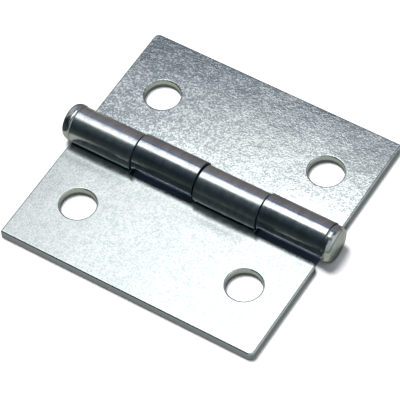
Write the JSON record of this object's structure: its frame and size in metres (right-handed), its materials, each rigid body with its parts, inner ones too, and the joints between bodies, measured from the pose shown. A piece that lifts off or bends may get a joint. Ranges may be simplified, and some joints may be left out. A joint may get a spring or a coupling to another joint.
{
  "type": "butt hinge",
  "caption": "Square plate hinge: two rolled sheet leaves with plain screw holes, turning on a captive pin with formed heads.",
  "frame": {"origin": "on the plane of the leaves' undersides, below the middle of the outline, with the hinge open flat", "axes": "+X along the pin towards its flatter head, +Y across the leaves towards back_leaf, +Z out of the mounting plane, the way the barrel stands"},
  "size_m": [0.054, 0.05, 0.0068],
  "materials": {
    "front_leaf_zinc": "bright zinc plate on rolled sheet steel",
    "back_leaf_zinc": "bright zinc plate on rolled sheet steel, speckled",
    "pin_zinc": "zinc plate on steel wire, formed heads"
  },
  "bodies": {
    "front_leaf": {"front_leaf": "front_leaf_zinc"},
    "back_leaf": {"back_leaf": "back_leaf_zinc"},
    "pin": {"hinge_pin": "pin_zinc"}
  },
  "joints": [
    {"name": "leaf_fold", "type": "hinge", "parent": "front_leaf", "child": "back_leaf", "pos_m": [0, 0, 0.0034], "axis": [1, 0, 0], "range_deg": [-90, 187]},
    {"name": "pin_spin", "type": "hinge", "parent": "front_leaf", "child": "pin", "pos_m": [0, 0, 0.0034], "axis": [1, 0, 0], "continuous": true}
  ]
}
